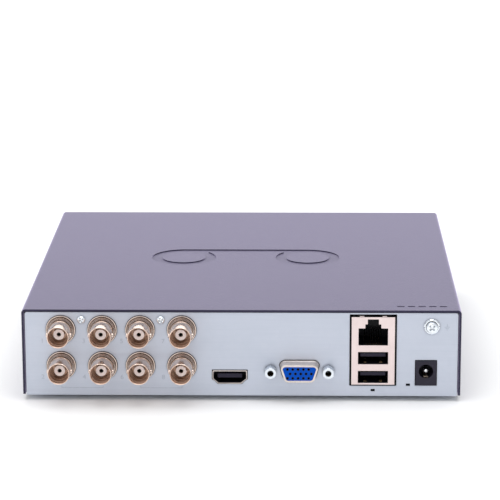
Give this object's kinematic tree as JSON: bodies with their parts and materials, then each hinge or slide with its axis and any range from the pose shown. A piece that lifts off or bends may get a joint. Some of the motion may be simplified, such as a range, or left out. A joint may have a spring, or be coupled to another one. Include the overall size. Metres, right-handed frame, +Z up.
{
  "type": "dvr recorder",
  "caption": "Desktop video recorder: folded steel cover over a sheet-metal tray, with camera, monitor, network, USB and power sockets on the back and a disk drive inside.",
  "frame": {"origin": "middle of the outline on the surface that the feet stand on", "axes": "+Z up; +Y out of the back panel, the way the plugs come out; the plain front faces -Y"},
  "size_m": [0.19, 0.1998, 0.041],
  "materials": {
    "base_tray": "satin",
    "top_cover": "satin",
    "front_panel": "satin",
    "rubber_feet": "matte",
    "cover_screws": "satin",
    "ground_screw": "satin",
    "ground_washer": "satin",
    "bnc_block_screws": "satin",
    "main_board": "satin",
    "board_standoffs": "satin",
    "board_screws": "satin",
    "processor_chip": "satin",
    "heat_sink": "satin",
    "memory_chips": "satin",
    "video_decoder_chips": "satin",
    "network_transformer": "satin",
    "power_inductors": "matte",
    "capacitors": "satin",
    "coin_cell_holder": "satin",
    "coin_cell": "satin",
    "buzzer": "matte",
    "sata_socket": "satin",
    "drive_power_socket": "satin",
    "bnc_block_outer": "satin",
    "bnc_block_inner": "satin",
    "bnc_insulators": "satin",
    "bnc_contacts": "polished",
    "hdmi_shell": "satin",
    "hdmi_tongue": "satin",
    "vga_shell": "satin",
    "vga_insulator": "satin",
    "vga_housing": "satin",
    "vga_jackscrews": "satin",
    "lan_usb_shell": "satin",
    "lan_usb_insert": "satin",
    "usb_tongues": "satin",
    "dc_jack_body": "satin",
    "dc_jack_pin": "polished",
    "dc_jack_spring": "satin",
    "drive_casting": "satin",
    "drive_lid": "satin",
    "drive_platters": "polished",
    "drive_spindle_hub": "satin",
    "drive_head_arm": "satin",
    "drive_magnets": "satin",
    "drive_board": "satin",
    "drive_socket": "satin",
    "drive_lid_screws": "satin",
    "drive_screws": "satin",
    "sata_lead": "satin",
    "power_lead": "satin",
    "lead_plugs": "satin",
    "bnc_shell_1": "satin",
    "bnc_shell_2": "satin",
    "bnc_shell_3": "satin",
    "bnc_shell_4": "satin",
    "bnc_shell_5": "satin",
    "bnc_shell_6": "satin",
    "bnc_shell_7": "satin",
    "bnc_shell_8": "satin"
  },
  "bodies": {
    "recorder": {"base_tray": "base_tray", "front_panel": "front_panel", "rubber_feet": "rubber_feet", "cover_screws": "cover_screws", "bnc_block_screws": "bnc_block_screws", "main_board": "main_board", "board_standoffs": "board_standoffs", "board_screws": "board_screws", "processor_chip": "processor_chip", "heat_sink": "heat_sink", "memory_chips": "memory_chips", "video_decoder_chips": "video_decoder_chips", "network_transformer": "network_transformer", "power_inductors": "power_inductors", "capacitors": "capacitors", "coin_cell_holder": "coin_cell_holder", "coin_cell": "coin_cell", "buzzer": "buzzer", "sata_socket": "sata_socket", "drive_power_socket": "drive_power_socket", "bnc_block_outer": "bnc_block_outer", "bnc_block_inner": "bnc_block_inner", "bnc_insulators": "bnc_insulators", "bnc_contacts": "bnc_contacts", "hdmi_shell": "hdmi_shell", "hdmi_tongue": "hdmi_tongue", "vga_shell": "vga_shell", "vga_insulator": "vga_insulator", "vga_housing": "vga_housing", "vga_jackscrews": "vga_jackscrews", "lan_usb_shell": "lan_usb_shell", "lan_usb_insert": "lan_usb_insert", "usb_tongues": "usb_tongues", "dc_jack_body": "dc_jack_body", "dc_jack_pin": "dc_jack_pin", "dc_jack_spring": "dc_jack_spring", "drive_casting": "drive_casting", "drive_lid": "drive_lid", "drive_magnets": "drive_magnets", "drive_board": "drive_board", "drive_socket": "drive_socket", "drive_lid_screws": "drive_lid_screws", "drive_screws": "drive_screws", "sata_lead": "sata_lead", "power_lead": "power_lead", "lead_plugs": "lead_plugs", "bnc_shell_1": "bnc_shell_1", "bnc_shell_2": "bnc_shell_2", "bnc_shell_3": "bnc_shell_3", "bnc_shell_4": "bnc_shell_4", "bnc_shell_5": "bnc_shell_5", "bnc_shell_6": "bnc_shell_6", "bnc_shell_7": "bnc_shell_7", "bnc_shell_8": "bnc_shell_8"},
    "cover": {"top_cover": "top_cover"},
    "ground_washer": {"ground_washer": "ground_washer"},
    "ground_screw": {"ground_screw": "ground_screw"},
    "spindle": {"drive_platters": "drive_platters", "drive_spindle_hub": "drive_spindle_hub"},
    "head_arm": {"drive_head_arm": "drive_head_arm"}
  },
  "joints": [
    {"name": "cover_lift", "type": "slide", "parent": "recorder", "child": "cover", "axis": [0, 0, 1], "range_m": [0, 0.06]},
    {"name": "ground_washer_back", "type": "slide", "parent": "recorder", "child": "ground_washer", "axis": [0, 1, 0], "range_m": [0, 0.0015]},
    {"name": "ground_screw_turn", "type": "hinge", "parent": "ground_washer", "child": "ground_screw", "pos_m": [-0.0823, 0.0875, 0.0337], "axis": [0, 1, 0], "range_deg": [0, 1080]},
    {"name": "platter_spin", "type": "hinge", "parent": "recorder", "child": "spindle", "pos_m": [-0.0292, -0.0391, 0.0204], "axis": [0, 0, 1], "continuous": true},
    {"name": "head_arm_swing", "type": "hinge", "parent": "recorder", "child": "head_arm", "pos_m": [0.0238, -0.0671, 0.0204], "axis": [0, 0, 1], "range_deg": [0, 37]}
  ],
  "couplings": [
    {"joint": "ground_screw_turn", "follows": "ground_washer_back", "rad_per_m": 12566}
  ]
}
